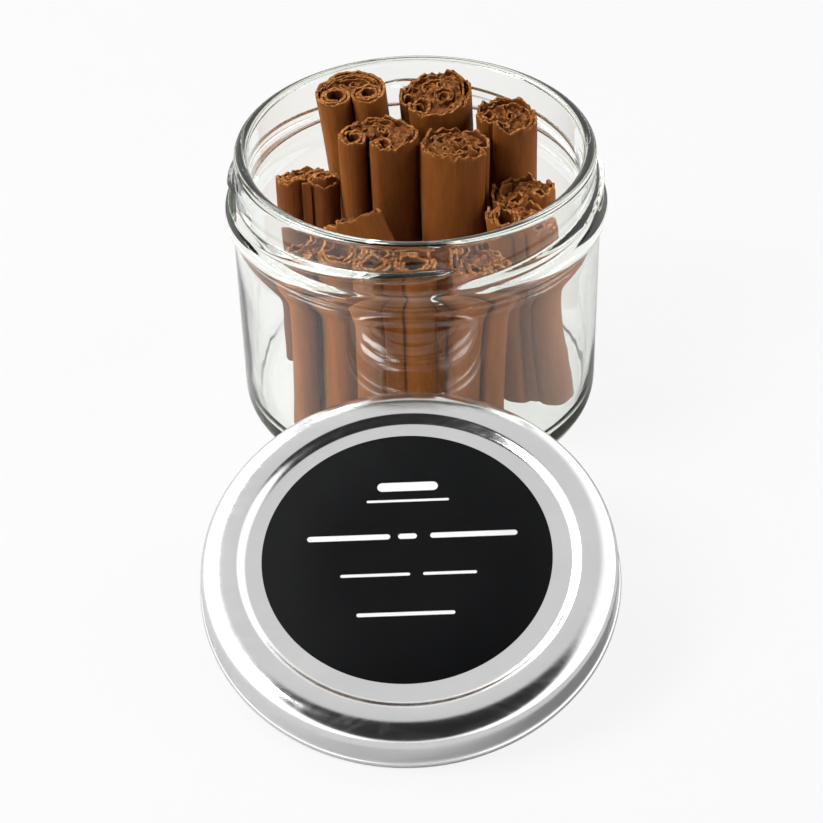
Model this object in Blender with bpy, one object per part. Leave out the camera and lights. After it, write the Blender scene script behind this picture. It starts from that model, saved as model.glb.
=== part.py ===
"""A glass twist-off jar of loose cinnamon sticks, with its tinplate lid leaning against it.

Frame: metres, +Z up. The origin is the middle of the jar's flat base, +X is to the right and
the lid leans on the jar's -Y side. Every size below is in millimetres.
"""
import math

import bmesh
import bpy
from mathutils import Matrix, Vector

MM = 0.001
GAP = 0.3                   # between pieces that touch

# jar
JAR_HEIGHT = 66.0
FACETS = 60                 # round the jar and the lid
BODY_R_TOP = 40.4
BODY_R_LOW = 39.9
BODY_WALL = 2.4
BASE_CORNER_R = 6.0
FLOOR_Z = 5.0
FLOOR_CORNER_R = 4.0
SHOULDER_Z = 46.0
NECK_R = 39.3
NECK_BORE_R = 36.4
NECK_Z = 54.0
BEAD_R = 42.0
BEAD_Z = 51.7
BEAD_HALF_HEIGHT = 1.8
LIP_TOP_R = 1.3

# screw ridges on the neck, each a quarter turn long
RIDGE_COUNT = 4
RIDGE_FIRST_ANGLE = -79.5   # degrees from +X, where the front ridge starts
RIDGE_SPAN = 90.0
RIDGE_LOW_Z = 54.6
RIDGE_HIGH_Z = 59.1
RIDGE_HALF_HEIGHT = 1.35
RIDGE_PROUD = 1.8
RIDGE_ROOT = 0.6            # how far a ridge is sunk into the neck
RIDGE_STEPS = 18

# lid
LID_R = 42.85
LID_HEIGHT = 10.1
LID_SHEET = 0.5
LID_TILT = 17.0             # degrees, the far edge raised on the jar
LID_SIDE_TILT = -1.5        # degrees, the right edge a little lower
LID_SHIFT_X = -2.9
CURL_R = 0.95
SKIRT_R = 42.2
PANEL_RIM_R = 37.4          # where the shoulder meets the raised ring
PANEL_STEP_OUT_R = 34.7
PANEL_STEP_IN_R = 32.9
PANEL_DROP = 1.0
LABEL_R = 29.3
LABEL_THICK = 0.25
LABEL_LIFT = 0.1            # over the lid's panel
LABEL_SHIFT = (-0.35, -0.25)

# sticks
STICK_POINTS = 28           # round one stick
STICK_LEVELS = 4            # rings along one stick
STICK_BOW = 0.5             # sideways bend at half height
STICK_STAND = 1.1           # the lowest edge over the jar's floor

# name: top x, y, z; base x, y; half width, half depth; turn of the section in degrees;
# grooves as (angle in degrees, depth as a fraction, width in degrees); tilt of the top cut
# about X and Y in degrees
STICKS = {
    "stick_back_left": ((-14.2, 23.9, 66.2), (-9.6, 26.0), 7.9, 7.9, 0,
                        [(-88, 0.42, 13)], (0, 0)),
    "stick_back_middle": ((4.8, 24.6, 64.8), (7.0, 27.0), 8.2, 7.9, 10,
                          [(-165, 0.30, 16)], (4, -5)),
    "stick_back_right": ((20.6, 18.3, 62.4), (22.0, 19.5), 6.8, 6.7, 0,
                         [(-132, 0.34, 12)], (0, 5)),
    "stick_middle_left": ((-8.1, 10.9, 62.8), (-5.8, 12.2), 9.0, 6.2, 2,
                          [(-122, 0.40, 12), (-62, 0.10, 10)], (2, 0)),
    "stick_middle_right": ((8.9, 8.7, 61.3), (9.0, 6.5), 7.7, 7.5, 0,
                           [(-8, 0.10, 9)], (-3, 3)),
    "stick_left_short": ((-24.3, 14.0, 50.0), (-23.8, 4.4), 7.2, 6.4, 0,
                         [(-90, 0.42, 12), (92, 0.45, 14)], (-3, 3)),
    "stick_leaning": ((-14.8, 0.2, 47.4), (1.0, -13.2), 7.1, 5.0, 0,
                      [(160, 0.12, 14)], (-20, -12)),
    "stick_front_left": ((-19.6, -13.6, 49.0), (-19.4, -19.4), 8.4, 6.2, 10,
                         [(-100, 0.32, 13)], (0, 4)),
    "stick_front_middle": ((-4.8, -23.9, 52.9), (-4.6, -28.3), 8.8, 6.5, 0,
                           [(-92, 0.36, 13)], (3, 0)),
    "stick_front_right": ((13.4, -21.6, 51.2), (11.2, -27.0), 6.7, 6.5, -15,
                          [(-60, 0.24, 14)], (0, 6)),
    "stick_right_front": ((22.6, -8.8, 53.0), (26.2, -11.4), 7.6, 6.0, -8,
                          [(-100, 0.34, 13)], (2, 5)),
    "stick_right_back": ((23.7, 4.7, 51.2), (26.6, 5.2), 7.1, 5.9, 0,
                         [(-70, 0.20, 13)], (-4, -4)),
}


def clear_scene():
    """Remove whatever the file starts with."""
    for thing in list(bpy.data.objects):
        bpy.data.objects.remove(thing, do_unlink=True)


def finish_of(name, colour, roughness, metallic=0.0, glass=False):
    """A Principled material for one kind of piece."""
    material = bpy.data.materials.new(name)
    material.use_nodes = True
    shader = material.node_tree.nodes["Principled BSDF"]
    shader.inputs["Base Color"].default_value = (*colour, 1.0)
    shader.inputs["Roughness"].default_value = roughness
    shader.inputs["Metallic"].default_value = metallic
    if glass:
        shader.inputs["Transmission Weight"].default_value = 1.0
        shader.inputs["IOR"].default_value = 1.52
    return material


def piece_from(name, shape, material, place=Matrix.Identity(4)):
    """Put a bmesh, drawn in millimetres, in the scene as one smooth-shaded object."""
    bmesh.ops.recalc_face_normals(shape, faces=shape.faces)
    bmesh.ops.scale(shape, vec=(MM, MM, MM), verts=shape.verts)
    for face in shape.faces:
        face.smooth = True
    mesh = bpy.data.meshes.new(name)
    shape.to_mesh(mesh)
    shape.free()
    mesh.materials.append(material)
    piece = bpy.data.objects.new(name, mesh)
    piece.matrix_world = place
    bpy.context.scene.collection.objects.link(piece)
    return piece


def arc(centre_r, centre_z, radius, start, end, steps):
    """Points (r, z) of an arc from start to end degrees, both ends included."""
    points = []
    for step in range(steps + 1):
        angle = math.radians(start + (end - start) * step / steps)
        points.append((centre_r + radius * math.cos(angle), centre_z + radius * math.sin(angle)))
    return points


def turned(outline, facets):
    """Spin a closed outline of (r, z) points; an outline end at r = 0 lies on the axis."""
    shape = bmesh.new()
    rings = []
    for r, z in outline:
        if r < 1e-6:
            rings.append([shape.verts.new((0.0, 0.0, z))])
            continue
        rings.append([shape.verts.new((r * math.cos(2 * math.pi * k / facets),
                                       r * math.sin(2 * math.pi * k / facets), z))
                      for k in range(facets)])
    for low, high in zip(rings, rings[1:] + rings[:1]):
        if len(low) == 1 and len(high) == 1:
            continue
        for k in range(facets):
            after = (k + 1) % facets
            corners = [low[k % len(low)], low[after % len(low)],
                       high[after % len(high)], high[k % len(high)]]
            corners = list(dict.fromkeys(corners))
            shape.faces.new(corners)
    return shape


def jar_outline():
    """The jar's section: up the outside, over the lip, down the bore and across the floor."""
    bead = [(NECK_R + (BEAD_R - NECK_R) * math.cos(angle), BEAD_Z + BEAD_HALF_HEIGHT * math.sin(angle))
            for angle in (math.radians(a) for a in (-30, 0, 30, 62))]
    outside = [(0.0, 0.0)]
    outside += arc(BODY_R_LOW - BASE_CORNER_R, BASE_CORNER_R, BASE_CORNER_R, -90, 0, 4)
    outside += [(BODY_R_TOP, SHOULDER_Z), (BODY_R_TOP + 0.5, BEAD_Z - 2.6)]
    outside += bead
    outside += [(NECK_R + 0.2, NECK_Z)]
    outside += arc(NECK_R - LIP_TOP_R, JAR_HEIGHT - LIP_TOP_R, LIP_TOP_R, 0, 90, 3)
    inside = arc(NECK_BORE_R + LIP_TOP_R, JAR_HEIGHT - LIP_TOP_R, LIP_TOP_R, 90, 180, 3)
    inside += [(NECK_BORE_R, BEAD_Z), (BODY_R_TOP - BODY_WALL, SHOULDER_Z)]
    inside += arc(BODY_R_LOW - BODY_WALL - FLOOR_CORNER_R, FLOOR_Z + FLOOR_CORNER_R, FLOOR_CORNER_R,
                  0, -90, 4)
    inside += [(0.0, FLOOR_Z)]
    return outside + inside


def ridge_height(along):
    """How high a ridge lies at a fraction of its length: it climbs evenly."""
    return RIDGE_LOW_Z + (RIDGE_HIGH_Z - RIDGE_LOW_Z) * along


def ridge(number):
    """One screw ridge: a half-oval swept round the neck, thinning to nothing at both ends."""
    section = [math.radians(a) for a in (-90, -45, 0, 45, 90)]
    shape = bmesh.new()
    rings = []
    for step in range(RIDGE_STEPS + 1):
        along = step / RIDGE_STEPS
        angle = math.radians(RIDGE_FIRST_ANGLE + 90.0 * number + RIDGE_SPAN * along)
        size = max(0.22, min(1.0, 9.0 * along, 9.0 * (1 - along)) ** 0.5)
        corners = [(NECK_R - RIDGE_ROOT, RIDGE_HALF_HEIGHT * size)]
        corners += [(NECK_R + RIDGE_PROUD * size * math.cos(a), -RIDGE_HALF_HEIGHT * size * math.sin(a))
                    for a in section]
        corners += [(NECK_R - RIDGE_ROOT, -RIDGE_HALF_HEIGHT * size)]
        rings.append([shape.verts.new((r * math.cos(angle), r * math.sin(angle), ridge_height(along) + z))
                      for r, z in corners])
    for low, high in zip(rings, rings[1:]):
        for k in range(len(low)):
            after = (k + 1) % len(low)
            shape.faces.new([low[k], low[after], high[after], high[k]])
    shape.faces.new(rings[0])
    shape.faces.new(list(reversed(rings[-1])))
    return shape


def make_jar(glass):
    """The glass, with the ridges joined on as one solid."""
    jar = piece_from("jar", turned(jar_outline(), FACETS), glass)
    for number in range(RIDGE_COUNT):
        tool = piece_from("ridge_tool_%d" % number, ridge(number), glass)
        join = jar.modifiers.new("ridge_%d" % number, "BOOLEAN")
        join.operation = "UNION"
        join.solver = "EXACT"
        join.object = tool
    bpy.context.view_layer.update()
    whole = bpy.data.meshes.new_from_object(jar.evaluated_get(bpy.context.evaluated_depsgraph_get()))
    jar.modifiers.clear()
    jar.data = whole
    for thing in [o for o in bpy.data.objects if o.name.startswith("ridge_tool_")]:
        bpy.data.objects.remove(thing, do_unlink=True)
    return jar


def lid_outline():
    """The lid's section: the stepped top panel, the shoulder, the skirt and its curl."""
    top = LID_HEIGHT
    panel = top - PANEL_DROP
    outside = [(0.0, panel), (PANEL_STEP_IN_R - 0.5, panel), (PANEL_STEP_IN_R + 0.3, panel + 0.25),
               (PANEL_STEP_OUT_R - 0.5, top - 0.25), (PANEL_STEP_OUT_R + 0.3, top), (PANEL_RIM_R, top)]
    outside += [(PANEL_RIM_R + (SKIRT_R - PANEL_RIM_R) * math.sin(a), top - 3.4 * (1 - math.cos(a)))
                for a in (math.radians(b) for b in (25, 50, 70, 90))]
    outside += [(SKIRT_R, 2.3)]
    outside += arc(LID_R - CURL_R, CURL_R, CURL_R, 45, -90, 4)
    outside += [(SKIRT_R - LID_SHEET - 0.5, 0.3), (SKIRT_R - LID_SHEET, 1.8)]
    inside = [(SKIRT_R - LID_SHEET, top - 3.4)]
    inside += [(PANEL_RIM_R + (SKIRT_R - LID_SHEET - PANEL_RIM_R) * math.sin(a),
                top - LID_SHEET - (3.4 - LID_SHEET) * (1 - math.cos(a)))
               for a in (math.radians(b) for b in (60, 30))]
    inside += [(PANEL_RIM_R, top - LID_SHEET), (PANEL_STEP_OUT_R + 0.6, top - LID_SHEET),
               (PANEL_STEP_IN_R + 0.1, panel - LID_SHEET), (0.0, panel - LID_SHEET)]
    return outside + inside


def lid_place():
    """The lid's pose: its near edge on the ground and its far edge against the jar."""
    turn = Matrix.Rotation(math.radians(LID_TILT), 4, "X") @ Matrix.Rotation(
        math.radians(LID_SIDE_TILT), 4, "Y")
    normal = turn @ Vector((0.0, 0.0, 1.0))
    circle_r = LID_R - CURL_R
    slope = math.sqrt(1 - normal.z ** 2)
    curl_z = circle_r * slope + CURL_R          # the curl's centre line, lowest point on the ground
    wall = BODY_R_TOP + CURL_R + GAP
    reach = wall + circle_r * math.cos(math.radians(LID_TILT))
    middle = Vector((LID_SHIFT_X, -math.sqrt(reach ** 2 - LID_SHIFT_X ** 2), curl_z))
    origin = middle - normal * CURL_R
    return Matrix.Translation(origin * MM) @ turn


def make_lid(tinplate, paper):
    """The lid and the round paper label on its panel."""
    place = lid_place()
    piece_from("lid", turned(lid_outline(), FACETS), tinplate, place)
    low = LID_HEIGHT - PANEL_DROP + LABEL_LIFT
    disc = [(0.0, low), (LABEL_R, low), (LABEL_R, low + LABEL_THICK), (0.0, low + LABEL_THICK)]
    shift = Matrix.Translation(Vector((*LABEL_SHIFT, 0.0)) * MM)
    piece_from("lid_label", turned(disc, FACETS), paper, place @ shift)


def rolled_outline(half_width, half_depth, grooves, phase):
    """The outside of a quill rolled in from both sides: an uneven oval with deep grooves."""
    points = []
    for k in range(STICK_POINTS):
        angle = 2 * math.pi * k / STICK_POINTS
        reach = 1.0 + 0.02 * math.sin(3 * angle + phase) - 0.02
        for centre, depth, width in grooves:
            off = (math.degrees(angle) - centre + 180.0) % 360.0 - 180.0
            reach -= depth * math.exp(-(off / width) ** 2)
        points.append(Vector((half_width * reach * math.cos(angle),
                              half_depth * reach * math.sin(angle), 0.0)))
    return points


def make_stick(number, name, bark):
    """One stick: its rolled outline lofted from the base to the top cut."""
    top, base, half_width, half_depth, turn, grooves, cut = STICKS[name]
    top = Vector(top)
    lean = (top - Vector((*base, FLOOR_Z))).normalized()
    rise = FLOOR_Z + STICK_STAND + math.sqrt(1 - lean.z ** 2) * half_width
    base = Vector((*base, rise))
    axis = (top - base).normalized()
    upright = Vector((0.0, 0.0, 1.0)).rotation_difference(axis).to_matrix()
    upright = upright @ Matrix.Rotation(math.radians(turn), 3, "Z")
    cut_normal = Matrix.Rotation(math.radians(cut[1]), 3, "Y") @ Matrix.Rotation(
        math.radians(cut[0]), 3, "X") @ axis
    outline = rolled_outline(half_width, half_depth, grooves, 1.7 * number)
    side = upright @ Vector((math.cos(number), math.sin(number), 0.0))
    shape = bmesh.new()
    rings = []
    for level in range(STICK_LEVELS):
        along = level / (STICK_LEVELS - 1)
        centre = base.lerp(top, along) + side * STICK_BOW * math.sin(math.pi * along)
        ring = []
        for point in outline:
            spot = centre + upright @ point * (1.0 - 0.03 * math.sin(math.pi * along))
            if level == STICK_LEVELS - 1:
                spot -= axis * ((spot - top).dot(cut_normal) / axis.dot(cut_normal))
            ring.append(shape.verts.new(spot))
        rings.append(ring)
    for low, high in zip(rings, rings[1:]):
        for k in range(STICK_POINTS):
            after = (k + 1) % STICK_POINTS
            shape.faces.new([low[k], low[after], high[after], high[k]])
    shape.faces.new(list(reversed(rings[0])))
    shape.faces.new(rings[-1])
    piece_from(name, shape, bark)


def main():
    clear_scene()
    glass = finish_of("glass", (0.93, 0.96, 0.92), 0.02, glass=True)
    tinplate = finish_of("tinplate", (0.80, 0.80, 0.80), 0.18, metallic=1.0)
    paper = finish_of("black_paper", (0.012, 0.012, 0.014), 0.55)
    bark = finish_of("cinnamon_bark", (0.30, 0.12, 0.045), 0.80)
    make_jar(glass)
    make_lid(tinplate, paper)
    for number, name in enumerate(STICKS):
        make_stick(number, name, bark)


main()
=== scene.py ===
"""Looks of the jar of cinnamon sticks: clear glass, bright tinplate lid with its bare black label,
and every stick as rolled sheets of bark. Lengths are in millimetres, and the places of the lamps
and of the floor in metres, as are the bump distances; noise scales are per metre. Angles are in degrees unless a comment says so.
"""
import math

import bpy
import numpy as np
from mathutils import Matrix, Vector, noise


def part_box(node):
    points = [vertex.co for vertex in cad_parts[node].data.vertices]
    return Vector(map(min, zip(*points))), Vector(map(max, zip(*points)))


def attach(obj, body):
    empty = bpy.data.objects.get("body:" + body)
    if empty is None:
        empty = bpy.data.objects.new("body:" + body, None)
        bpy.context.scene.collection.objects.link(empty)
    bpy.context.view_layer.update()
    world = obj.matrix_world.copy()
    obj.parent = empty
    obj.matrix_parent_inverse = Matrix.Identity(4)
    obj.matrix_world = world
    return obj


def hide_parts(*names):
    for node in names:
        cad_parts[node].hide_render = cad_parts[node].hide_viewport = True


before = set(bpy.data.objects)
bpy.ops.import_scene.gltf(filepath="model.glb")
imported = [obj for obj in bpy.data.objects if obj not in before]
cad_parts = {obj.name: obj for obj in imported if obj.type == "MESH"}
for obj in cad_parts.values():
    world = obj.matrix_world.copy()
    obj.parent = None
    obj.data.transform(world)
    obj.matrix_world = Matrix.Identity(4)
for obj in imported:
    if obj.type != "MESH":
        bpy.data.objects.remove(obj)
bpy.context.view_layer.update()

MM = 0.001

# the jar's section, with the numbers of the CAD
JAR_HEIGHT = (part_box("jar")[1] / MM).z
BODY_R_TOP = 40.4
BODY_R_LOW = 39.9
BODY_WALL = 2.4
BASE_CORNER_R = 6.0
PUSH_UP = 1.1               # the dished middle of the base
PUSH_UP_R = 29.0
FLOOR_Z = 5.0
FLOOR_CORNER_R = 4.0
SHOULDER_Z = 46.0
NECK_R = 39.3
NECK_BORE_R = 36.4
NECK_TOP_Z = 62.4           # the ridges end below it
LIP_LOW_Z = 63.6
BEAD_R = 42.0
BEAD_Z = 51.7
BEAD_HALF_HEIGHT = 1.8
LIP_TOP_R = 1.3
RIDGE_FIRST_ANGLE = -79.5
RIDGE_SPAN = 90.0
RIDGE_LOW_Z = 54.6
RIDGE_HIGH_Z = 59.1
RIDGE_HALF_HEIGHT = 1.35
RIDGE_PROUD = 1.8
JAR_SEGMENTS = 320

# the lid's section and place, with the numbers of the CAD
LID_R = 42.85
LID_HEIGHT = 10.1
LID_SHEET = 0.3
LID_TILT = 17.0
LID_SIDE_TILT = -1.5
LID_SHIFT_X = -2.9
LID_GAP = 0.3
CURL_R = 0.95
SKIRT_R = 42.2
SHOULDER_DROP = 3.4
PANEL_RIM_R = 37.4
PANEL_STEP_OUT_R = 34.7
PANEL_STEP_IN_R = 32.9
PANEL_DROP = 1.0
LID_SEGMENTS = 256
LABEL_R = 29.3
LABEL_THICK = 0.16
LABEL_SHIFT = (-0.35, 0.45)  # 0.7 further up the lid than in the CAD

# Each stick: top x, y, z; base x, y; half width; half depth; turn of the section; the groove's
# angle; radii of the curls on the groove's right and left; tilt of the top cut about X and Y; how
# ragged the top is; how light the bark is, partly the bark's own colour and partly painted shade,
# darkest for a stick that stands in shadow.
STICKS = {
    "stick_back_left": ((-14.2, 23.9, 66.2), (-9.6, 26.0), 7.9, 7.9, 0, -88,
                        (3.6, 3.6), (0, 0), 0.35, 0.85),
    "stick_back_middle": ((4.8, 24.6, 64.8), (7.0, 27.0), 8.2, 7.9, 10, -165,
                          (2.4, 1.9), (4, -5), 1.0, 0.75),
    "stick_back_right": ((20.6, 18.3, 62.4), (22.0, 19.5), 6.8, 6.7, 0, -132,
                         (1.9, 2.4), (0, 5), 1.0, 0.60),
    "stick_middle_left": ((-8.1, 10.9, 62.8), (-5.8, 12.2), 9.0, 6.2, 2, -122,
                          (2.5, 3.0), (2, 0), 0.8, 0.62),
    "stick_middle_right": ((8.9, 8.7, 61.3), (9.0, 6.5), 7.7, 7.5, 0, -14,
                           (1.5, 1.9), (-3, 3), 0.9, 0.72),
    # its low last number paints shade into this stick's bark, as it stands in shadow
    "stick_left_short": ((-24.3, 14.0, 50.0), (-23.8, 4.4), 7.2, 6.4, 0, -90,
                         (3.3, 3.2), (-3, 3), 0.8, 0.18),
    "stick_leaning": ((-14.8, 0.2, 47.4), (1.0, -13.2), 7.1, 5.0, 0, 160,
                      (1.8, 1.7), (-12, 3), 0.7, 0.85),
    "stick_front_left": ((-19.6, -13.6, 49.0), (-19.4, -19.4), 8.4, 6.2, 10, -128,
                         (4.3, 2.6), (0, 4), 0.8, 0.80),
    "stick_front_middle": ((-4.8, -23.9, 52.9), (-4.6, -28.3), 8.8, 6.5, 0, -92,
                           (4.3, 3.8), (3, 0), 0.6, 0.70),
    "stick_front_right": ((13.4, -21.6, 51.2), (11.2, -27.0), 6.7, 6.5, -15, -60,
                          (2.3, 2.1), (0, 6), 1.1, 0.72),
    "stick_right_front": ((22.6, -8.8, 53.0), (26.2, -11.4), 7.6, 6.0, -8, -100,
                          (3.5, 3.6), (2, 5), 1.5, 0.85),
    "stick_right_back": ((23.7, 4.7, 51.2), (26.6, 5.2), 7.1, 5.9, 0, -70,
                         (2.2, 2.2), (-4, -4), 1.5, 0.80),
}
STICK_BOW = 0.5
STICK_STAND = 1.1           # gap under a stick's foot
CURL_HOLLOWS = (0.35, 0.35)     # how far the curls on the groove's right and left stand open
OPEN_CURLS = {"stick_back_left": (0.3, 1.0)}
BARK = 0.62                 # thickness of the outer sheet
QUILL = 0.34                # thickness of the rolled sheets inside it
PATH_STEP = 0.55
ROLL_RADII = (2.6, 2.2, 1.9, 1.6, 1.3, 1.1, 0.9, 0.75)
ROLL_TRIES = 140
# heights at which a sheet has points, as shares of its length, closer together near its torn top
OUTER_LEVELS = (0, 0.01, 0.03, 0.07, 0.13, 0.2, 0.28, 0.36, 0.44, 0.52, 0.6, 0.68, 0.76, 0.83,
                0.89, 0.93, 0.955, 0.972, 0.984, 0.993, 1)
INNER_LEVELS = (0, 0.02, 0.08, 0.4, 0.8, 0.9, 0.95, 0.975, 0.99, 1)

# plain rules in place of print, in the label's plane: middle x, y, half length, half height
LABEL_RULES = (
    (0.4, 16.6, 6.2, 1.05), (0.4, 13.2, 8.4, 0.28), (-11.7, 4.6, 8.4, 0.62),
    (0.2, 4.6, 1.9, 0.62), (13.6, 4.6, 8.8, 0.62), (-6.4, -4.4, 7.0, 0.34),
    (8.6, -4.4, 5.4, 0.34), (-0.4, -13.6, 9.8, 0.42),
)
RULE_SOFT_EDGE = 0.06

# stage
FLOOR_HALF = 3.0            # metres
FLOOR_DROP = 0.00005        # metres, so that the jar's base doesn't lie in the floor
FLOOR_WHITENESS = 0.88      # how far the floor shows as white instead of lit
DARK_TOWARD = (0.0, -0.60, 0.80)    # a dark zone of the studio, which the camera doesn't see
DARK_LEVEL = 0.03
OVERHEAD_LEVEL = 0.70
SIDE_REFLECTORS = 1.55
WORLD_ON_DIFFUSE = 0.16     # share of the studio's light that matt surfaces get
LAMP_SIZE = 0.34
LAMP_TARGET = (0, 0, 0.04)
LAMPS = {                   # place in metres, power in watts
    "lamp_left": ((-0.54, -0.16, 0.56), 5.6),
    "lamp_back_left": ((-0.46, 0.36, 0.72), 3.6),
    "lamp_right": ((0.62, 0.00, 0.46), 2.0),
}
CAMERA_PLACE = Vector((0.0, -478.5, 362.8)) * MM
CAMERA_DOWN, CAMERA_PAN, CAMERA_ROLL = -37.68, 0.262, -1.437
CAMERA_LENS = 113.4


# ---------------------------------------------------------------- materials

class Nodes:
    """A node tree, with short calls for the nodes used here."""

    def __init__(self, tree, coordinates):
        self.tree = tree
        self.where = self.add("ShaderNodeTexCoord").outputs[coordinates]

    def add(self, kind, **settings):
        node = self.tree.nodes.new(kind)
        for key, value in settings.items():
            setattr(node, key, value)
        return node

    def link(self, start, end):
        self.tree.links.new(start, end)

    def plug(self, value, socket):
        """Put a number, a colour or another node's output into a socket."""
        if hasattr(value, "is_output"):
            self.link(value, socket)
        else:
            socket.default_value = value

    def scaled(self, scale, where=None):
        """The coordinates, stretched; in metres, so a scale of 1000 is one unit per millimetre."""
        node = self.add("ShaderNodeMapping")
        self.link(where or self.where, node.inputs["Vector"])
        node.inputs["Scale"].default_value = scale
        return node.outputs["Vector"]

    def noise(self, scale, detail=3.0, rough=0.5, distortion=0.0, where=None):
        node = self.add("ShaderNodeTexNoise")
        self.link(self.scaled(scale, where), node.inputs["Vector"])
        node.inputs["Scale"].default_value = 1.0
        node.inputs["Detail"].default_value = detail
        node.inputs["Roughness"].default_value = rough
        node.inputs["Distortion"].default_value = distortion
        return node.outputs["Fac"]

    def ramp(self, value, stops):
        node = self.add("ShaderNodeValToRGB")
        self.link(value, node.inputs["Fac"])
        marks = node.color_ramp.elements
        while len(marks) < len(stops):
            marks.new(0.5)
        for mark, (at, colour) in zip(marks, stops):
            mark.position = at
            mark.color = (*colour, 1.0) if isinstance(colour, tuple) else (colour,) * 3 + (1.0,)
        return node.outputs["Color"]

    def mix(self, fac, first, second, blend="MIX"):
        node = self.add("ShaderNodeMix", data_type="RGBA", blend_type=blend)
        self.plug(fac, node.inputs["Factor"])
        self.plug(first if hasattr(first, "is_output") else (*first, 1.0), node.inputs["A"])
        self.plug(second if hasattr(second, "is_output") else (*second, 1.0), node.inputs["B"])
        return [o for o in node.outputs if o.type == "RGBA"][0]

    def math(self, operation, first, second=0.0, third=0.0, clamp=False):
        node = self.add("ShaderNodeMath", operation=operation, use_clamp=clamp)
        for value, socket in zip((first, second, third), node.inputs):
            self.plug(value, socket)
        return node.outputs["Value"]

    def span(self, value, low, high, to_low=0.0, to_high=1.0):
        """Map value from low..high to to_low..to_high, held at the ends."""
        node = self.add("ShaderNodeMapRange", interpolation_type="SMOOTHSTEP")
        self.link(value, node.inputs["Value"])
        for key, number in (("From Min", low), ("From Max", high),
                            ("To Min", to_low), ("To Max", to_high)):
            node.inputs[key].default_value = number
        return node.outputs["Result"]

    def bump(self, height, strength, distance, normal=None):
        node = self.add("ShaderNodeBump")
        self.link(height, node.inputs["Height"])
        node.inputs["Strength"].default_value = strength
        node.inputs["Distance"].default_value = distance
        if normal:
            self.link(normal, node.inputs["Normal"])
        return node.outputs["Normal"]


class MaterialNodes(Nodes):
    """A new material's tree, with its Principled shader."""

    def __init__(self, name):
        self.material = bpy.data.materials.new(name)
        self.material.use_nodes = True
        super().__init__(self.material.node_tree, "Object")
        self.shader = self.tree.nodes["Principled BSDF"]
        self.out = self.tree.nodes["Material Output"]


def glass_material():
    """Clear soda glass with a faint green in its thick places; lamps shine through it."""
    n = MaterialNodes("clear_glass")
    tint = n.noise((60, 60, 60), 2.0)
    n.link(n.ramp(tint, [(0.3, (0.985, 0.995, 0.985)), (0.7, (0.995, 1.0, 0.995))]),
           n.shader.inputs["Base Color"])
    n.shader.inputs["Transmission Weight"].default_value = 1.0
    n.shader.inputs["IOR"].default_value = 1.52
    n.shader.inputs["Roughness"].default_value = 0.0
    waves = n.noise((90, 90, 40), 2.0, 0.4)
    n.link(n.bump(waves, 0.12, 0.0006), n.shader.inputs["Normal"])
    lamp = n.add("ShaderNodeLightPath")
    clear = n.add("ShaderNodeBsdfTransparent")
    clear.inputs["Color"].default_value = (0.95, 0.97, 0.95, 1.0)
    both = n.add("ShaderNodeMixShader")
    n.link(lamp.outputs["Is Shadow Ray"], both.inputs["Fac"])
    n.link(n.shader.outputs["BSDF"], both.inputs[1])
    n.link(clear.outputs["BSDF"], both.inputs[2])
    n.link(both.outputs["Shader"], n.out.inputs["Surface"])
    body = n.add("ShaderNodeVolumeAbsorption")
    body.inputs["Color"].default_value = (0.74, 0.83, 0.64, 1.0)
    body.inputs["Density"].default_value = 24.0
    n.link(body.outputs["Volume"], n.out.inputs["Volume"])
    return n.material


def tinplate_material():
    """Bright tinplate: nearly a mirror, with a faint rolled grain and a few soft smears."""
    n = MaterialNodes("bright_tinplate")
    n.shader.inputs["Metallic"].default_value = 1.0
    cloud = n.noise((70, 70, 70), 3.0)
    n.link(n.ramp(cloud, [(0.3, (0.80, 0.80, 0.805)), (0.7, (0.86, 0.86, 0.86))]),
           n.shader.inputs["Base Color"])
    smear = n.noise((120, 260, 120), 4.0, 0.6, 1.5)
    n.link(n.span(smear, 0.35, 0.75, 0.13, 0.20), n.shader.inputs["Roughness"])
    grain = n.noise((300, 9000, 300), 2.0)
    peel = n.noise((700, 700, 700), 2.0)
    n.link(n.bump(peel, 0.10, 0.00006, n.bump(grain, 0.05, 0.00003)), n.shader.inputs["Normal"])
    return n.material


def label_material():
    """Black coated paper with plain printed rules, soft-edged, in the paper's own plane."""
    n = MaterialNodes("black_label_paper")
    fibre = n.noise((2600, 2600, 2600), 4.0, 0.65)
    blotch = n.noise((110, 110, 110), 3.0)
    black = n.mix(blotch, (0.0028, 0.0030, 0.0034), (0.0055, 0.0058, 0.0064))
    parts = n.add("ShaderNodeSeparateXYZ")
    n.link(n.where, parts.inputs["Vector"])
    ink = None
    for middle_x, middle_y, half_length, half_height in LABEL_RULES:
        across = n.math("ABSOLUTE", n.math("SUBTRACT", parts.outputs["X"], middle_x * MM))
        along = n.math("ABSOLUTE", n.math("SUBTRACT", parts.outputs["Y"], middle_y * MM))
        past = n.math("MAXIMUM", n.math("SUBTRACT", across, (half_length - half_height) * MM), 0.0)
        away = n.math("SQRT", n.math("ADD", n.math("MULTIPLY", past, past),
                                     n.math("MULTIPLY", along, along)))
        rule = n.span(away, (half_height - RULE_SOFT_EDGE) * MM,
                      (half_height + RULE_SOFT_EDGE) * MM, 1.0, 0.0)
        ink = rule if ink is None else n.math("MAXIMUM", ink, rule)
    n.link(n.mix(ink, black, (0.80, 0.80, 0.79)), n.shader.inputs["Base Color"])
    n.link(n.span(fibre, 0.3, 0.7, 0.50, 0.62), n.shader.inputs["Roughness"])
    n.shader.inputs["Specular IOR Level"].default_value = 0.04
    n.link(n.bump(fibre, 0.12, 0.00002), n.shader.inputs["Normal"])
    return n.material


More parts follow.
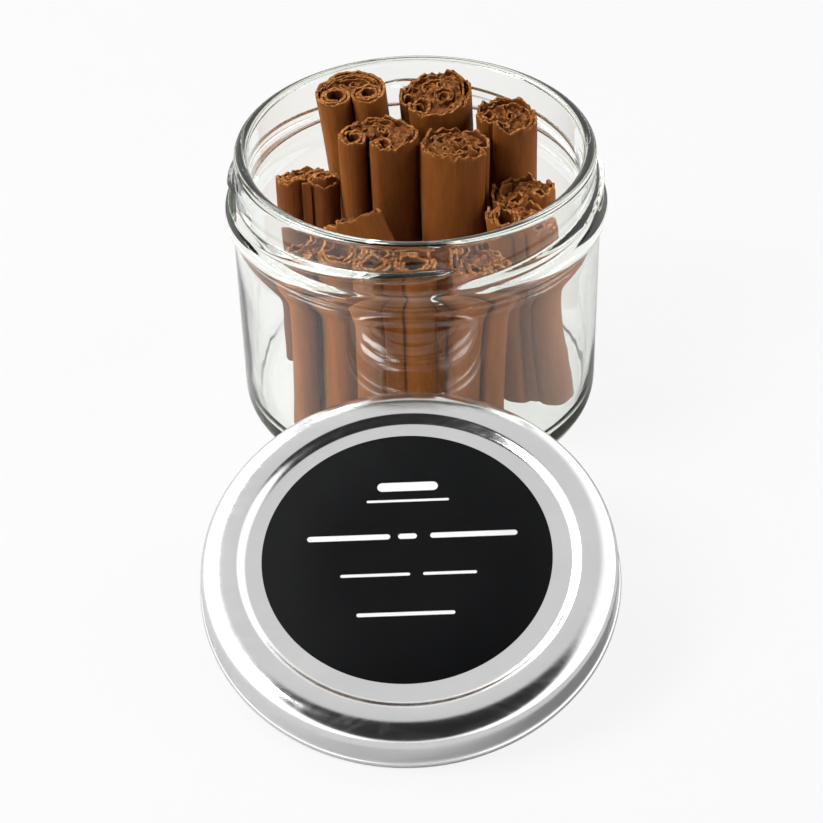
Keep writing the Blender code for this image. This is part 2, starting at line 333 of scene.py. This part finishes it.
def bark_material():
    """Dry cinnamon bark: brown streaks along the quill, lighter torn ends, darker inside faces
    partly painted as shade between the sheets, and a lightness per stick that is partly painted
    shade.
    """
    n = MaterialNodes("cinnamon_bark")
    torn_and_shade = n.add("ShaderNodeAttribute", attribute_name="torn_and_shade").outputs["Fac"]
    inside = n.add("ShaderNodeAttribute", attribute_name="inside").outputs["Fac"]
    tone_and_shade = n.add("ShaderNodeAttribute", attribute_name="tone_and_shade").outputs["Fac"]
    streak = n.noise((900, 900, 28), 5.0, 0.6, 0.4)
    broad = n.noise((190, 190, 30), 3.0, 0.55, 0.8)
    fine = n.noise((2600, 2600, 160), 4.0, 0.7)
    blotch = n.noise((150, 150, 90), 4.0, 0.6)
    mixed = n.math("ADD", n.math("MULTIPLY", streak, 0.5), n.math("MULTIPLY", broad, 0.5))
    skin = n.ramp(mixed, [(0.30, (0.140, 0.036, 0.004)), (0.45, (0.195, 0.053, 0.006)),
                          (0.55, (0.230, 0.066, 0.008)), (0.72, (0.290, 0.098, 0.017))])
    dusty = n.ramp(fine, [(0.35, (0.15, 0.041, 0.006)), (0.65, (0.36, 0.140, 0.033))])
    skin = n.mix(n.span(blotch, 0.50, 0.72, 0.0, 0.55), skin, dusty)
    # Per stick, between a darkened copy of the skin and a paler one: partly the bark's own
    # lightness, partly painted shade on sticks that stand in shadow.
    pale = n.mix(0.22, skin, (0.36, 0.135, 0.029))
    skin = n.mix(tone_and_shade, n.mix(1.0, skin, (0.38, 0.28, 0.22), "MULTIPLY"), pale)
    # Dark colour of the sheets' inner faces: partly the bark's own darker inside, partly painted
    # shade in the gaps between the sheets.
    lining_and_shade = n.ramp(streak, [(0.3, (0.045, 0.009, 0.001)), (0.7, (0.170, 0.044, 0.006))])
    skin = n.mix(inside, skin, lining_and_shade)
    crumb = n.noise((1500, 1500, 1500), 4.0, 0.7)
    torn = n.ramp(crumb, [(0.34, (0.070, 0.017, 0.002)), (0.48, (0.24, 0.078, 0.014)),
                          (0.66, (0.58, 0.265, 0.085))])
    n.link(n.mix(torn_and_shade, skin, torn), n.shader.inputs["Base Color"])
    n.link(n.span(streak, 0.3, 0.7, 0.58, 0.80), n.shader.inputs["Roughness"])
    n.shader.inputs["Specular IOR Level"].default_value = 0.15
    fibres = n.bump(streak, 0.30, 0.0003)
    fibres = n.bump(blotch, 0.50, 0.0012, fibres)
    fibres = n.bump(fine, 0.60, 0.00018, fibres)
    n.link(n.bump(crumb, 0.50, 0.00020, fibres), n.shader.inputs["Normal"])
    return n.material


# ---------------------------------------------------------------- meshes

def mesh_piece(name, points, faces, material, place, attributes=None):
    """One smooth-shaded object from points in millimetres, with float attributes on its points."""
    mesh = bpy.data.meshes.new(name)
    mesh.from_pydata((np.asarray(points) * MM).tolist(), [], faces)
    mesh.polygons.foreach_set("use_smooth", np.ones(len(mesh.polygons), dtype=bool))
    for key, values in (attributes or {}).items():
        layer = mesh.attributes.new(key, "FLOAT", "POINT")
        layer.data.foreach_set("value", np.asarray(values, dtype=np.float32))
    mesh.materials.append(material)
    mesh.update()
    piece = bpy.data.objects.new(name, mesh)
    bpy.context.scene.collection.objects.link(piece)
    piece.matrix_world = place
    return piece


def arc(centre_r, centre_z, radius, start, end, steps):
    """Points (r, z) of an arc from start to end degrees, both ends included."""
    angles = np.radians(np.linspace(start, end, steps + 1))
    return [(centre_r + radius * math.cos(a), centre_z + radius * math.sin(a)) for a in angles]


def between(first, last, steps):
    """Points from first to last, without the last one."""
    return [(first[0] + (last[0] - first[0]) * k / steps,
             first[1] + (last[1] - first[1]) * k / steps) for k in range(steps)]


def lathe(outline, segments, shift=None):
    """A closed outline spun round Z, as points and faces; shift(r, z, angles) gives its radii."""
    angles = np.arange(segments) * 2 * math.pi / segments
    points, starts, counts = [], [], []
    for r, z in outline:
        starts.append(len(points))
        if r < 1e-6:
            points.append((0.0, 0.0, z))
            counts.append(1)
            continue
        radii = shift(r, z, angles) if shift else np.full(segments, r)
        points.extend(zip(radii * np.cos(angles), radii * np.sin(angles), np.full(segments, z)))
        counts.append(segments)
    faces = []
    order = list(range(len(outline)))
    for low, high in zip(order, order[1:] + order[:1]):
        if counts[low] == 1 and counts[high] == 1:
            continue
        for k in range(segments):
            after = (k + 1) % segments
            corners = [starts[low] + k % counts[low], starts[low] + after % counts[low],
                       starts[high] + after % counts[high], starts[high] + k % counts[high]]
            faces.append(list(dict.fromkeys(corners)))
    return points, faces


# ---------------------------------------------------------------- jar and lid

def ridge_relief(z, angles):
    """How far the screw ridges stand out of the neck at a height, for each angle."""
    relief = np.zeros_like(angles)
    turned = np.degrees(angles) - RIDGE_FIRST_ANGLE
    for lap in range(-1, 5):
        along = (turned - 90.0 * lap) / RIDGE_SPAN
        middle = RIDGE_LOW_Z + (RIDGE_HIGH_Z - RIDGE_LOW_Z) * along
        size = np.sqrt(np.clip(np.minimum(12.0 * along, 12.0 * (1 - along)), 0.0, 1.0))
        inside = (along > 0) & (along < 1)
        off = np.abs(z - middle) / (RIDGE_HALF_HEIGHT * np.maximum(size, 0.05))
        bulge = np.where(off < 1, np.cos(0.5 * math.pi * np.clip(off, 0, 1)) ** 0.75, 0.0)
        relief = np.maximum(relief, np.where(inside, RIDGE_PROUD * size * bulge, 0.0))
    return relief


def jar_outline():
    """The jar's section, with its outer neck rows close enough to carry the ridges."""
    bead = [(NECK_R + (BEAD_R - NECK_R) * math.cos(a) ** 0.8,
             BEAD_Z + BEAD_HALF_HEIGHT * math.sin(a))
            for a in np.radians(np.linspace(-52, 78, 16))]
    outside = [(0.0, PUSH_UP)]
    outside += [(PUSH_UP_R * k / 8, PUSH_UP * math.cos(0.5 * math.pi * k / 8) ** 0.5)
                for k in range(1, 8)]
    outside += [(PUSH_UP_R, 0.15), (PUSH_UP_R + 0.8, 0.0)]
    outside += arc(BODY_R_LOW - BASE_CORNER_R, BASE_CORNER_R, BASE_CORNER_R, -90, 0, 14)
    outside += between((BODY_R_LOW + 0.02, BASE_CORNER_R + 1), (BODY_R_TOP, SHOULDER_Z), 10)
    outside += [(BODY_R_TOP + 0.35 * (k / 5) ** 2, SHOULDER_Z + (BEAD_Z - 2.6 - SHOULDER_Z) * k / 5)
                for k in range(6)]
    outside += bead
    outside += [(NECK_R + 0.12, BEAD_Z + 1.95), (NECK_R + 0.03, BEAD_Z + 2.1)]
    outside += between((NECK_R, BEAD_Z + 2.25), (NECK_R, NECK_TOP_Z), 44)
    outside += [(NECK_R, NECK_TOP_Z), (NECK_R, LIP_LOW_Z)]
    outside += arc(NECK_R - LIP_TOP_R, JAR_HEIGHT - LIP_TOP_R, LIP_TOP_R, 0, 90, 8)
    inside = arc(NECK_BORE_R + LIP_TOP_R, JAR_HEIGHT - LIP_TOP_R, LIP_TOP_R, 90, 180, 8)
    inside += between((NECK_BORE_R, JAR_HEIGHT - 3), (NECK_BORE_R, BEAD_Z), 5)
    bore_end = BODY_R_TOP - BODY_WALL
    inside += [(NECK_BORE_R + (bore_end - NECK_BORE_R) * 0.5 * (1 - math.cos(math.pi * k / 10)),
                BEAD_Z + (SHOULDER_Z - 1 - BEAD_Z) * k / 10) for k in range(11)]
    wall_low = BODY_R_LOW - BODY_WALL
    inside += between((bore_end, SHOULDER_Z - 2), (wall_low, FLOOR_Z + FLOOR_CORNER_R), 10)
    inside += arc(wall_low - FLOOR_CORNER_R, FLOOR_Z + FLOOR_CORNER_R, FLOOR_CORNER_R, 0, -90, 12)
    inside += [((wall_low - FLOOR_CORNER_R) * (1 - k / 6), FLOOR_Z + 0.5 * (k / 6) ** 2)
               for k in range(1, 6)]
    inside += [(0.0, FLOOR_Z + 0.5)]
    return outside + inside


def jar_radii(r, z, angles):
    """A ring's radii: ridges outside the neck, and a slightly uneven inner wall."""
    if r > NECK_R - 0.01 and BEAD_Z + 2.0 < z <= NECK_TOP_Z:
        return r + ridge_relief(z, angles)
    if FLOOR_Z + 2 < z < SHOULDER_Z and r < BODY_R_LOW - 1:
        fade = min(1.0, (SHOULDER_Z - z) / 8, (z - FLOOR_Z - 2) / 8)
        wave = np.sin(3 * angles + 1.2 + 0.05 * z) + 0.6 * np.sin(5 * angles + 4.0 - 0.09 * z)
        return r + 0.10 * fade * wave
    return np.full(len(angles), r)


def make_jar():
    points, faces = lathe(jar_outline(), JAR_SEGMENTS, jar_radii)
    jar = mesh_piece("jar_glass", points, faces, glass_material(), Matrix.Identity(4))
    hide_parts("jar")
    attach(jar, "root")


def lid_outline():
    """The lid's section: stepped panel, rolled shoulder, skirt with a bead, and the curl."""
    top = LID_HEIGHT
    panel = top - PANEL_DROP
    step_r = PANEL_STEP_OUT_R - PANEL_STEP_IN_R
    outside = [(0.0, panel)] + [(PANEL_STEP_IN_R * k / 6, panel) for k in range(1, 6)]
    outside += [(PANEL_STEP_IN_R - 0.3 + (step_r + 0.6) * k / 10,
                 panel + PANEL_DROP * 0.5 * (1 - math.cos(math.pi * k / 10))) for k in range(11)]
    outside += [((PANEL_STEP_OUT_R + PANEL_RIM_R) / 2, top)]
    outside += [(PANEL_RIM_R + (SKIRT_R - PANEL_RIM_R) * math.sin(a),
                 top - SHOULDER_DROP * (1 - math.cos(a)))
                for a in np.radians(np.linspace(0, 90, 16))]
    outside += [(SKIRT_R, 5.0), (SKIRT_R + 0.02, 3.2), (SKIRT_R + 0.1, 2.5)]
    outside += arc(LID_R - CURL_R, CURL_R, CURL_R, 62, -180, 16)
    outside += [(SKIRT_R - LID_SHEET - 0.1, 2.2)]
    low = LID_SHEET
    inside = [(SKIRT_R - low, 3.0), (SKIRT_R - low, top - SHOULDER_DROP)]
    inside += [(PANEL_RIM_R + (SKIRT_R - low - PANEL_RIM_R) * math.sin(a),
                top - low - (SHOULDER_DROP - low) * (1 - math.cos(a)))
               for a in np.radians(np.linspace(80, 0, 9))]
    inside += [(PANEL_STEP_OUT_R + 0.5, top - low), (PANEL_STEP_IN_R, panel - low),
               (0.0, panel - low)]
    return outside + inside


def lid_place():
    """The lid's pose: its near edge on the ground and its far edge against the jar."""
    turn = Matrix.Rotation(math.radians(LID_TILT), 4, "X") @ Matrix.Rotation(
        math.radians(LID_SIDE_TILT), 4, "Y")
    normal = turn @ Vector((0.0, 0.0, 1.0))
    circle_r = LID_R - CURL_R
    curl_z = circle_r * math.sqrt(1 - normal.z ** 2) + CURL_R
    reach = BODY_R_TOP + CURL_R + LID_GAP + circle_r * math.cos(math.radians(LID_TILT))
    middle = Vector((LID_SHIFT_X, -math.sqrt(reach ** 2 - LID_SHIFT_X ** 2), curl_z))
    return Matrix.Translation((middle - normal * CURL_R) * MM) @ turn


def make_lid():
    place = lid_place()
    points, faces = lathe(lid_outline(), LID_SEGMENTS)
    lid = mesh_piece("lid_tinplate", points, faces, tinplate_material(), place)
    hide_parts("lid")
    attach(lid, "root")
    low = LID_HEIGHT - PANEL_DROP + 0.01
    high = low + LABEL_THICK
    outline = [(0.0, low), (LABEL_R - 0.04, low), (LABEL_R, low + 0.04), (LABEL_R, high - 0.05),
               (LABEL_R - 0.05, high), (LABEL_R * 0.5, high), (0.0, high)]
    points, faces = lathe(outline, LID_SEGMENTS)
    shift = Matrix.Translation(Vector((*LABEL_SHIFT, 0.0)) * MM)
    label = mesh_piece("lid_label_paper", points, faces, label_material(), place @ shift)
    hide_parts("lid_label")
    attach(label, "root")


# ---------------------------------------------------------------- sticks

def smooth_noise(rng, length, step, scale):
    """Noise in about -1..1 along a line sampled every step, wandering over about scale."""
    count = max(4, int(length / scale) + 4)
    knots = rng.normal(0.0, 0.55, count)
    return np.interp(np.arange(int(length / step) + 2) * step / scale, np.arange(count), knots)


def resample(path):
    """A polyline with even steps of about PATH_STEP."""
    path = np.asarray(path, float)
    run = np.r_[0, np.cumsum(np.hypot(*np.diff(path, axis=0).T))]
    count = max(3, int(round(run[-1] / PATH_STEP)) + 1)
    even = np.linspace(0, run[-1], count)
    return np.c_[np.interp(even, run, path[:, 0]), np.interp(even, run, path[:, 1])]


def curl(centre, radius, start, sense, turns, pitch):
    """A spiral winding in from a circle: start in radians, sense 1 for counter-clockwise."""
    count = max(8, int(28 * turns))
    way = np.linspace(0, turns, count)
    radii = np.maximum(radius - pitch * np.maximum(way - 0.1, 0), 0.35)
    angles = start + sense * 2 * math.pi * way
    return np.c_[centre[0] + radii * np.cos(angles), centre[1] + radii * np.sin(angles)]


class Quill:
    """One stick's rolled sheets, as paths in its cross-section."""

    def __init__(self, half_width, half_depth, groove, curls, hollows, seed):
        self.rng = np.random.default_rng(seed)
        self.a = half_width - BARK / 2
        self.b = half_depth - BARK / 2
        self.groove = math.radians(groove)
        self.hollows = hollows
        self.discs = []         # (x, y, r) taken by the curls and the inner rolls
        self.sheets = []        # (path, thickness, is_outer)
        self.outer_sheet(curls)
        self.layers()
        self.rolls()

    def oval(self, angle, scale=1.0):
        return np.array([self.a * scale * math.cos(angle), self.b * scale * math.sin(angle)])

    def outer_sheet(self, curls):
        """The outside sheet, with both its edges curled into the groove."""
        size = np.linalg.norm(self.oval(self.groove))
        self.opening = 0.0
        self.groove_reach = max(0.15, 1 - 1.7 * max(curls) / size)
        ends = []
        for radius, sense in ((curls[0], -1), (curls[1], 1)):
            spread = math.asin(min(0.93, radius / max(size - radius, 0.1))) * 1.04
            angle = self.groove - sense * spread
            self.opening = max(self.opening, spread)
            edge = self.oval(angle)
            normal = np.array([math.cos(angle) / self.a, math.sin(angle) / self.b])
            normal /= np.linalg.norm(normal)
            centre = edge - normal * radius
            start = math.atan2(normal[1], normal[0])
            pitch = BARK + 0.22
            turns = min(3.0, (radius - 0.7) / pitch) * self.rng.uniform(0.60, 0.85)
            ends.append((angle, curl(centre, radius, start, sense, turns, pitch)))
            self.discs.append((centre[0], centre[1], radius + BARK * 0.5))
        # the first end is passed last: the sheet runs counter-clockwise from one curl to the other
        begin, finish = ends[0][0], ends[1][0] + 2 * math.pi
        around = np.array([self.oval(a) for a in np.linspace(begin, finish, 90)])
        path = np.vstack([ends[0][1][::-1], around[1:-1], ends[1][1]])
        self.sheets.append((path, BARK, True))

    def clear(self, point, margin):
        return all(math.hypot(point[0] - x, point[1] - y) > r + margin for x, y, r in self.discs)

    def layers(self):
        """Partial layers just inside the outer sheet."""
        inset = BARK * 0.5 + QUILL * 0.5 + 0.15
        self.inner_scale = 1.0
        for _ in range(4 if min(self.a, self.b) > 5.4 else 3):
            scale = 1.0 - inset / min(self.a, self.b)
            start = self.rng.uniform(0, 2 * math.pi)
            span = self.rng.uniform(3.4, 5.6)
            phase = self.rng.uniform(0, 6)
            run = []
            best = []
            for angle in np.linspace(start, start + span, 110):
                wave = 1 + 0.012 * math.sin(7 * angle + phase)
                point = self.oval(angle, scale * wave)
                if self.clear(point, QUILL * 0.5 + 0.1):
                    run.append(point)
                    best = run if len(run) > len(best) else best
                else:
                    run = []
            if len(best) > 8:
                self.sheets.append((np.array(best), QUILL, False))
            self.inner_scale = scale
            inset += QUILL + self.rng.uniform(0.12, 0.30)

    def rolls(self):
        """Small rolls and flakes packed into what is left."""
        limit = self.inner_scale - (QUILL * 0.5 + 0.12) / min(self.a, self.b)
        for radius in ROLL_RADII:
            for _ in range(ROLL_TRIES):
                x = self.rng.uniform(-self.a, self.a)
                y = self.rng.uniform(-self.b, self.b)
                reach_a = self.a * limit - radius
                reach_b = self.b * limit - radius
                if reach_a <= 0 or reach_b <= 0 or (x / reach_a) ** 2 + (y / reach_b) ** 2 > 1:
                    continue
                if not self.clear((x, y), radius + 0.06):
                    continue
                self.discs.append((x, y, radius))
                start = self.rng.uniform(0, 2 * math.pi)
                sense = self.rng.choice((-1, 1))
                turns = max(0.8, min(3.0, (radius - 0.45) / 0.62)) * self.rng.uniform(0.8, 1.05)
                path = curl((x, y), radius - QUILL * 0.5, start, sense, turns, QUILL + 0.24)
                squash = 1 + self.rng.uniform(-0.10, 0.0)
                path = (path - (x, y)) * (1, squash) + (x, y)
                self.sheets.append((path, QUILL, False))


def crumbs(quill, high):
    """The broken, packed bark between the rolls: a rough closed plug a little below the top."""
    rings, segments = 22, 72
    scale = 1 - (BARK * 0.5 + 0.2) / min(quill.a, quill.b)
    angles = np.arange(segments) * 2 * math.pi / segments
    off = np.abs((angles - quill.groove + math.pi) % (2 * math.pi) - math.pi)
    reach = np.where(off < quill.opening, scale * quill.groove_reach, scale)
    points = [(0.0, 0.0)]
    for ring in range(1, rings + 1):
        fraction = reach * ring / rings
        points.extend(zip(quill.a * fraction * np.cos(angles), quill.b * fraction * np.sin(angles)))
    xy = np.array(points)
    seed = quill.rng.uniform(0, 50)
    rough = np.array([noise.noise(Vector((x / 1.5, y / 1.5, seed))) + 0.6 * noise.noise(
        Vector((x / 0.7, y / 0.7, seed + 9))) for x, y in xy])
    drop = 1.1 - 1.1 * rough
    for (x, y, r), hollow in zip(quill.discs, quill.hollows):
        hole = np.clip(1.15 - np.hypot(xy[:, 0] - x, xy[:, 1] - y) / max(r - BARK, 0.5), 0, 1)
        drop += 6.0 * np.minimum(hole * 2.5, 1) * hollow
    top = high(xy) - drop
    # The torn colour fades as the plug sinks into the hollows, so deep crumbs show the dark inner
    # colour: painted shade in the recesses.
    torn_and_shade = list(np.clip(0.80 - 0.45 * drop, 0.0, 0.8))
    points = [tuple(p) for p in np.c_[xy, top]]
    faces = [[0, 1 + k, 1 + (k + 1) % segments] for k in range(segments)]
    for ring in range(rings - 1):
        low, up = 1 + ring * segments, 1 + (ring + 1) * segments
        for k in range(segments):
            after = (k + 1) % segments
            faces.append([low + k, up + k, up + after, low + after])
    edge = 1 + (rings - 1) * segments
    under = len(points)
    points += [(points[edge + k][0], points[edge + k][1], min(top) - 2.0) for k in range(segments)]
    torn_and_shade += [0.0] * segments
    for k in range(segments):
        after = (k + 1) % segments
        faces.append([edge + k, under + k, under + after, edge + after])
    faces.append([under + k for k in range(segments)][::-1])
    # The whole plug takes most of the dark inner colour: painted shade down inside the quill.
    return points, faces, torn_and_shade, [0.8] * len(points)


def strip(path, thick, levels, low, high, rng, ragged, is_outer):
    """A sheet standing on its path: points, faces and attributes, in the stick's own frame."""
    path = resample(path)
    count = len(path)
    ahead = np.gradient(path, axis=0)
    ahead /= np.linalg.norm(ahead, axis=1)[:, None]
    normal = np.c_[ahead[:, 1], -ahead[:, 0]]
    length = count * PATH_STEP
    coarse = smooth_noise(rng, length, PATH_STEP, 3.0)[:count]
    fine = smooth_noise(rng, length, PATH_STEP, 0.8)[:count]
    splinter = np.clip(rng.normal(0, 1, count) - 1.5, 0, 1.6)
    if is_outer:
        tear = ragged * (0.65 * coarse + 0.95 * fine + 0.55 * splinter - 0.25)
    else:
        sink = rng.uniform(0.0, 0.5 + 0.8 * ragged)
        tear = ragged * (0.75 * coarse + 0.55 * fine + 0.55 * splinter) - sink
    foot = 0.35 * smooth_noise(rng, length, PATH_STEP, 2.0)[:count]
    foot = np.clip(foot, -0.2, 0.6) + (0.0 if is_outer else rng.uniform(0, 1.0))
    levels = np.asarray(levels, float)
    bottom = low(path) + foot
    top = high(path) + tear
    z = bottom[:, None] + (top - bottom)[:, None] * levels[None, :]
    bend = 0.28 * ragged * smooth_noise(rng, length, PATH_STEP, 1.6)[:count]
    near_top = np.clip((levels - 0.93) / 0.07, 0, 1) ** 1.5
    sway = bend[:, None] * near_top[None, :]
    relief = np.zeros_like(z)
    if is_outer:
        where = levels * 4
        index = np.minimum(where.astype(int), 3)
        part = where - index
        for scale, size in ((4.0, 0.10), (1.3, 0.07)):
            waves = np.array([smooth_noise(rng, length, PATH_STEP, scale)[:count]
                              for _ in range(5)])
            relief += size * (waves[index].T * (1 - part) + waves[index + 1].T * part)
    points, faces, torn_and_shade, inside = [], [], [], []
    rows = len(levels)

    def grid(offsets, flip, depth):
        start = len(points)
        xy = path[:, None, :] + normal[:, None, :] * offsets[:, :, None]
        points.extend(np.dstack([xy, z]).reshape(-1, 3))
        drop = top[:, None] - z
        torn_and_shade.extend(np.clip(1 - drop / 0.5, 0, 1).reshape(-1) * 0.65)
        inside.extend(np.full(z.size, depth))
        for i in range(count - 1):
            for j in range(rows - 1):
                a = start + i * rows + j
                quad = [a, a + rows, a + rows + 1, a + 1]
                faces.append(quad[::-1] if flip else quad)
        return start

    def rim(pairs):
        """The narrow face that closes an edge, on points of its own so that it shades crisply."""
        start = len(points)
        for p, q in pairs:
            points.extend([points[p], points[q]])
            torn_and_shade.extend([1.0, 1.0])
            inside.extend([0.0, 0.0])
        for k in range(len(pairs) - 1):
            a = start + 2 * k
            faces.append([a, a + 1, a + 3, a + 2])

    half = thick / 2
    shape = sway + relief * 0.5
    # The outer sheet's inner face takes the full dark inner colour; the inner sheets take much of
    # it on both faces, which is painted shade inside the quill.
    outer = grid(shape + half, False, 0.0 if is_outer else 0.55)
    inner = grid(sway - half, True, 1.0 if is_outer else 0.75)
    last = rows - 1
    rim([(outer + i * rows + last, inner + i * rows + last) for i in range(count)])
    rim([(inner + i * rows, outer + i * rows) for i in range(count)])
    rim([(inner + j, outer + j) for j in range(rows)][::-1])
    base = (count - 1) * rows
    rim([(inner + base + j, outer + base + j) for j in range(rows)])
    return points, faces, torn_and_shade, inside


def make_stick(number, name, material):
    """One stick: its sheets and its plug of crumbs, bowed a little and set on its base."""
    top, base, half_width, half_depth, turn, groove, curls, cut_tilt, ragged, tone_and_shade = STICKS[name]
    top = Vector(top)
    lean = (top - Vector((*base, FLOOR_Z))).normalized()
    base = Vector((*base, FLOOR_Z + STICK_STAND + math.sqrt(1 - lean.z ** 2) * half_width))
    axis = (top - base).normalized()
    length = (top - base).length
    upright = Vector((0.0, 0.0, 1.0)).rotation_difference(axis).to_matrix()
    upright = upright @ Matrix.Rotation(math.radians(turn), 3, "Z")
    cut_normal = Matrix.Rotation(math.radians(cut_tilt[1]), 3, "Y") @ Matrix.Rotation(
        math.radians(cut_tilt[0]), 3, "X") @ axis
    cut_normal = upright.transposed() @ cut_normal

    def high(path):
        across = path[:, 0] * cut_normal.x + path[:, 1] * cut_normal.y
        return length - 0.35 - across / cut_normal.z

    def low(path):
        return np.full(len(path), 0.25)

    hollows = OPEN_CURLS.get(name, CURL_HOLLOWS)
    quill = Quill(half_width, half_depth, groove, curls, hollows, 100 + number)
    points, faces, torn_and_shade, inside = [], [], [], []
    pieces = [strip(path, thick, OUTER_LEVELS if is_outer else INNER_LEVELS, low, high, quill.rng,
                    ragged, is_outer) for path, thick, is_outer in quill.sheets]
    for piece in pieces + [crumbs(quill, high)]:
        start = len(points)
        points.extend(piece[0])
        faces.extend([[start + k for k in face] for face in piece[1]])
        torn_and_shade.extend(piece[2])
        inside.extend(piece[3])
    points = np.array(points)
    along = np.clip(points[:, 2] / length, 0, 1)
    swell = np.sin(math.pi * along)
    points[:, :2] *= (1.0 - 0.03 * swell)[:, None]
    points[:, 0] += STICK_BOW * math.cos(number) * swell
    points[:, 1] += STICK_BOW * math.sin(number) * swell
    place = Matrix.Translation(base * MM) @ upright.to_4x4()
    stick = mesh_piece(name.replace("stick", "quill"), points, faces, material, place,
                       {"torn_and_shade": torn_and_shade, "inside": inside, "tone_and_shade": np.full(len(points), tone_and_shade)})
    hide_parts(name)
    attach(stick, "root")


# ---------------------------------------------------------------- stage

def make_floor():
    """A pale floor that shows as white, and keeps the object's shadow."""
    n = MaterialNodes("pale_floor")
    speck = n.noise((40, 40, 40), 2.0)
    n.link(n.ramp(speck, [(0.3, 0.54), (0.7, 0.56)]), n.shader.inputs["Base Color"])
    n.shader.inputs["Roughness"].default_value = 0.9
    n.shader.inputs["Specular IOR Level"].default_value = 0.1
    path = n.add("ShaderNodeLightPath")
    glow = n.add("ShaderNodeEmission")
    glow.inputs["Strength"].default_value = 1.0
    seen = n.math("MAXIMUM", path.outputs["Is Camera Ray"], path.outputs["Is Transmission Ray"])
    seen = n.math("MULTIPLY", seen, FLOOR_WHITENESS)
    both = n.add("ShaderNodeMixShader")
    n.link(seen, both.inputs["Fac"])
    n.link(n.shader.outputs["BSDF"], both.inputs[1])
    n.link(glow.outputs["Emission"], both.inputs[2])
    n.link(both.outputs["Shader"], n.out.inputs["Surface"])
    half = FLOOR_HALF
    corners = [(-half, -half, 0), (half, -half, 0), (half, half, 0), (-half, half, 0)]
    mesh = bpy.data.meshes.new("floor")
    mesh.from_pydata(corners, [], [(0, 1, 2, 3)])
    mesh.materials.append(n.material)
    floor = bpy.data.objects.new("floor", mesh)
    floor.location.z = -FLOOR_DROP
    bpy.context.scene.collection.objects.link(floor)


def make_world():
    """A pale studio: white all round, light grey overhead, and dark above the front."""
    world = bpy.data.worlds.new("studio")
    world.use_nodes = True
    bpy.context.scene.world = world
    world.node_tree.nodes.clear()
    n = Nodes(world.node_tree, "Generated")
    facing = n.add("ShaderNodeVectorMath", operation="DOT_PRODUCT")
    n.link(n.where, facing.inputs[0])
    facing.inputs[1].default_value = Vector(DARK_TOWARD).normalized()
    dark = n.span(facing.outputs["Value"], 0.70, 0.80, 1.0, DARK_LEVEL)
    parts = n.add("ShaderNodeSeparateXYZ")
    n.link(n.where, parts.inputs["Vector"])
    above = n.span(parts.outputs["Z"], 0.55, 0.85, 1.0, OVERHEAD_LEVEL)
    sides = n.span(n.math("ABSOLUTE", parts.outputs["X"]), 0.22, 0.50, 1.0, SIDE_REFLECTORS)
    level = n.math("MULTIPLY", dark, n.math("MULTIPLY", above, sides))
    path = n.add("ShaderNodeLightPath")
    held_back = n.math("MULTIPLY", path.outputs["Is Diffuse Ray"], 1 - WORLD_ON_DIFFUSE)
    lit = n.math("MULTIPLY", level, n.math("SUBTRACT", 1.0, held_back))
    sky = n.add("ShaderNodeBackground")
    sky.inputs["Color"].default_value = (1.0, 1.0, 1.0, 1.0)
    n.link(n.math("MAXIMUM", lit, path.outputs["Is Camera Ray"]), sky.inputs["Strength"])
    out = n.add("ShaderNodeOutputWorld")
    n.link(sky.outputs["Background"], out.inputs["Surface"])


def make_lamp(name, place, power):
    """A soft square lamp aimed at the object; place in metres, power in watts."""
    data = bpy.data.lights.new(name, "AREA")
    data.size = LAMP_SIZE
    data.energy = power
    lamp = bpy.data.objects.new(name, data)
    lamp.location = place
    aim = Vector(LAMP_TARGET) - Vector(place)
    lamp.rotation_euler = aim.to_track_quat("-Z", "Y").to_euler()
    bpy.context.scene.collection.objects.link(lamp)


def make_camera():
    """The photograph's view: from the front, well above, with a long lens."""
    data = bpy.data.cameras.new("camera")
    data.sensor_width = 36.0
    data.lens = CAMERA_LENS
    data.clip_start = 0.01
    camera = bpy.data.objects.new("camera", data)
    turn = (Matrix.Rotation(math.radians(CAMERA_PAN), 4, "Z")
            @ Matrix.Rotation(math.radians(90.0 + CAMERA_DOWN), 4, "X")
            @ Matrix.Rotation(math.radians(CAMERA_ROLL), 4, "Z"))
    camera.matrix_world = Matrix.Translation(CAMERA_PLACE) @ turn
    bpy.context.scene.collection.objects.link(camera)
    bpy.context.scene.camera = camera


def main():
    make_camera()
    make_world()
    make_floor()
    for name, (place, power) in LAMPS.items():
        make_lamp(name, place, power)
    make_jar()
    make_lid()
    bark = bark_material()
    for number, name in enumerate(STICKS):
        make_stick(number, name, bark)
    scene = bpy.context.scene
    scene.view_settings.view_transform = "Standard"
    bpy.context.view_layer.update()


main()
